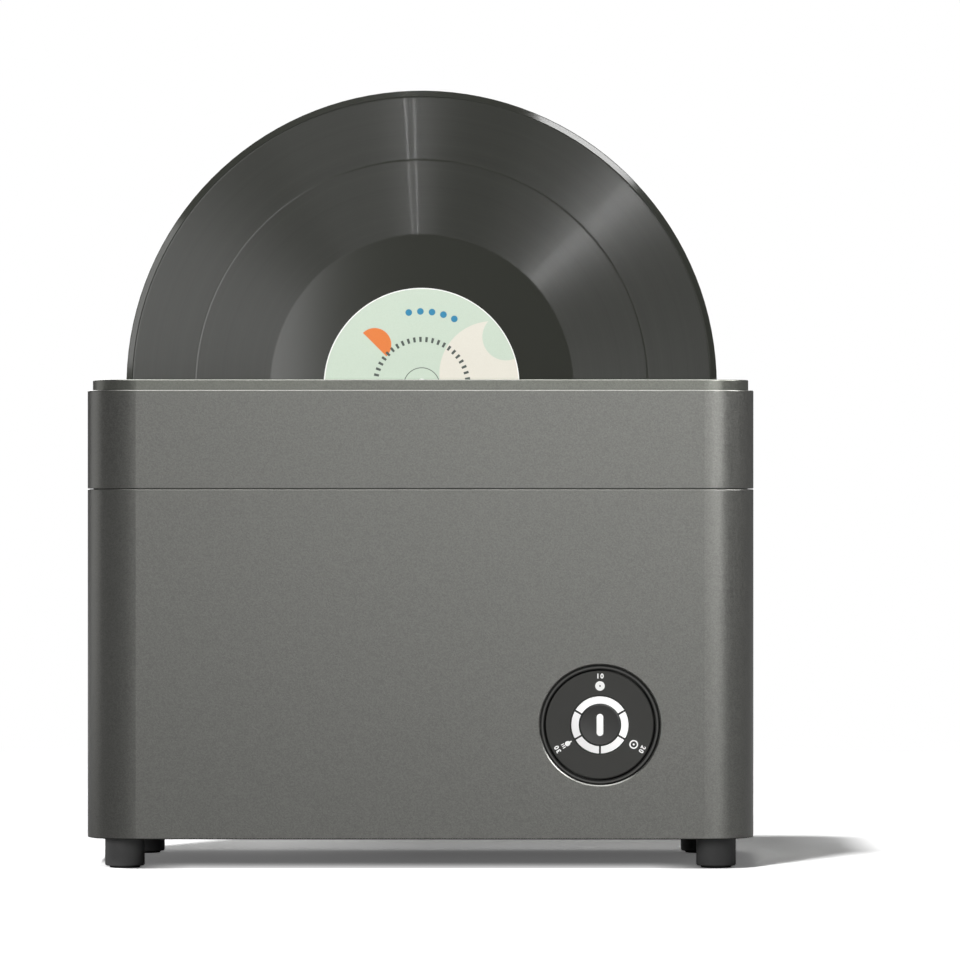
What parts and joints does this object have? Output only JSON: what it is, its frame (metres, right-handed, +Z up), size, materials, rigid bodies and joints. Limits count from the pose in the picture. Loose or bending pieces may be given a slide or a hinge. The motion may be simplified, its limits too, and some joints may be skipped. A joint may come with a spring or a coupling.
{
  "type": "record cleaning machine",
  "caption": "Upright ultrasonic record cleaner: rounded metal casing, lift-off slotted cover, record on edge over a wash tub, round front control panel, pull-out water tank.",
  "frame": {"origin": "on the ground under the middle of the casing", "axes": "+X to the right, +Y to the back, +Z up; the control panel faces -Y"},
  "size_m": [0.334, 0.16, 0.3928],
  "materials": {
    "casing_paint": "fine metallic satin paint",
    "tray_plastic": "dark satin plastic",
    "foot_plastic": "dark satin plastic",
    "rubber": "matt",
    "vinyl": "glossy with fine grooves",
    "label_paper": "smooth paper",
    "tub_steel": "satin",
    "steel": "machined",
    "inner_plastic": "moulded",
    "tank_plastic": "smoked satin plastic",
    "silicone": "soft matt",
    "brass": "machined",
    "gear_plastic": "moulded acetal",
    "aluminium": "turned",
    "ceramic": "matt fired",
    "copper": "enamelled winding",
    "foam": "open foam",
    "panel_plastic": "dark satin",
    "lit_window": "white translucent",
    "circuit_board": "solder mask"
  },
  "bodies": {
    "casing": {"housing": "casing_paint", "base_plate": "inner_plastic", "deck_plate": "inner_plastic", "base_screws": "steel", "deck_screws": "steel", "foot_screws": "steel", "feet": "foot_plastic", "foot_pads": "rubber", "wash_tub": "tub_steel", "tub_strainer": "steel", "tub_screws": "steel", "shaft_seal": "silicone", "shaft_bush": "brass", "drive_motor": "steel", "motor_bracket": "steel", "bracket_screws": "steel", "idler_axle": "steel", "drain_valve_body": "inner_plastic", "drain_solenoid": "steel", "valve_spring": "steel", "blower_housing": "inner_plastic", "blower_motor": "copper", "air_duct": "inner_plastic", "air_filter": "foam", "panel_bezel": "panel_plastic", "light_carrier": "panel_plastic", "light_ring": "lit_window", "panel_board": "circuit_board", "panel_screws": "steel", "main_board": "circuit_board", "board_screws": "steel", "driver_transformer": "ceramic", "heat_sink": "aluminium", "filter_capacitors": "aluminium", "power_jack": "inner_plastic", "transducer_heads": "aluminium", "piezo_rings": "ceramic", "transducer_back_masses": "steel", "transducer_bolts": "steel"},
    "cover": {"top_cover": "casing_paint", "slot_tray": "tray_plastic", "throat_gasket": "silicone", "tray_screws": "steel"},
    "record": {"record_disc": "vinyl", "record_label_front": "label_paper", "record_label_back": "label_paper"},
    "drive": {"drive_roller": "silicone", "drive_shaft": "steel", "driven_gear": "gear_plastic"},
    "motor_rotor": {"motor_pinion": "brass", "motor_shaft": "steel"},
    "idler": {"idler_roller": "silicone"},
    "valve": {"valve_plunger": "steel"},
    "tank": {"water_tank": "tank_plastic", "tank_lid": "tank_plastic"},
    "blower_wheel": {"blower_impeller": "inner_plastic"},
    "rear_filter_cover": {"filter_cover": "casing_paint"},
    "mode_key": {"mode_disc": "panel_plastic"},
    "power_key": {"power_button": "panel_plastic", "power_mark": "lit_window"}
  },
  "joints": [
    {"name": "cover_lift", "type": "slide", "parent": "casing", "child": "cover", "axis": [0, 0, 1], "range_m": [0, 0.215]},
    {"name": "record_spin", "type": "hinge", "parent": "casing", "child": "record", "pos_m": [0, 0, 0.242], "axis": [0, 1, 0], "continuous": true},
    {"name": "drive_spin", "type": "hinge", "parent": "casing", "child": "drive", "pos_m": [0.13196, 0, 0.1496], "axis": [0, 1, 0], "continuous": true},
    {"name": "motor_spin", "type": "hinge", "parent": "casing", "child": "motor_rotor", "pos_m": [0.13196, 0.022, 0.1255], "axis": [0, 1, 0], "continuous": true},
    {"name": "idler_spin", "type": "hinge", "parent": "casing", "child": "idler", "pos_m": [-0.13196, 0, 0.1496], "axis": [0, 1, 0], "continuous": true},
    {"name": "valve_slide", "type": "slide", "parent": "casing", "child": "valve", "axis": [0, 1, 0], "range_m": [0, 0.009], "stiffness_N_per_m": 120, "springref_m": -0.008, "deforming": ["valve_spring"]},
    {"name": "tank_slide", "type": "slide", "parent": "casing", "child": "tank", "axis": [0, 1, 0], "range_m": [0, 0.11]},
    {"name": "blower_spin", "type": "hinge", "parent": "casing", "child": "blower_wheel", "pos_m": [-0.08, 0.042, 0.128], "axis": [0, 1, 0], "continuous": true},
    {"name": "filter_cover_pull", "type": "slide", "parent": "casing", "child": "rear_filter_cover", "axis": [0, 1, 0], "range_m": [0, 0.04]},
    {"name": "mode_press", "type": "slide", "parent": "casing", "child": "mode_key", "axis": [0, 1, 0], "range_m": [0, 0.0006], "stiffness_N_per_m": 600, "springref_m": -0.002},
    {"name": "power_press", "type": "slide", "parent": "casing", "child": "power_key", "axis": [0, 1, 0], "range_m": [0, 0.0012], "stiffness_N_per_m": 400, "springref_m": -0.002}
  ],
  "couplings": [
    {"joint": "drive_spin", "follows": "record_spin", "ratio": -15.08},
    {"joint": "idler_spin", "follows": "record_spin", "ratio": -15.08},
    {"joint": "motor_spin", "follows": "record_spin", "ratio": 45.24}
  ]
}
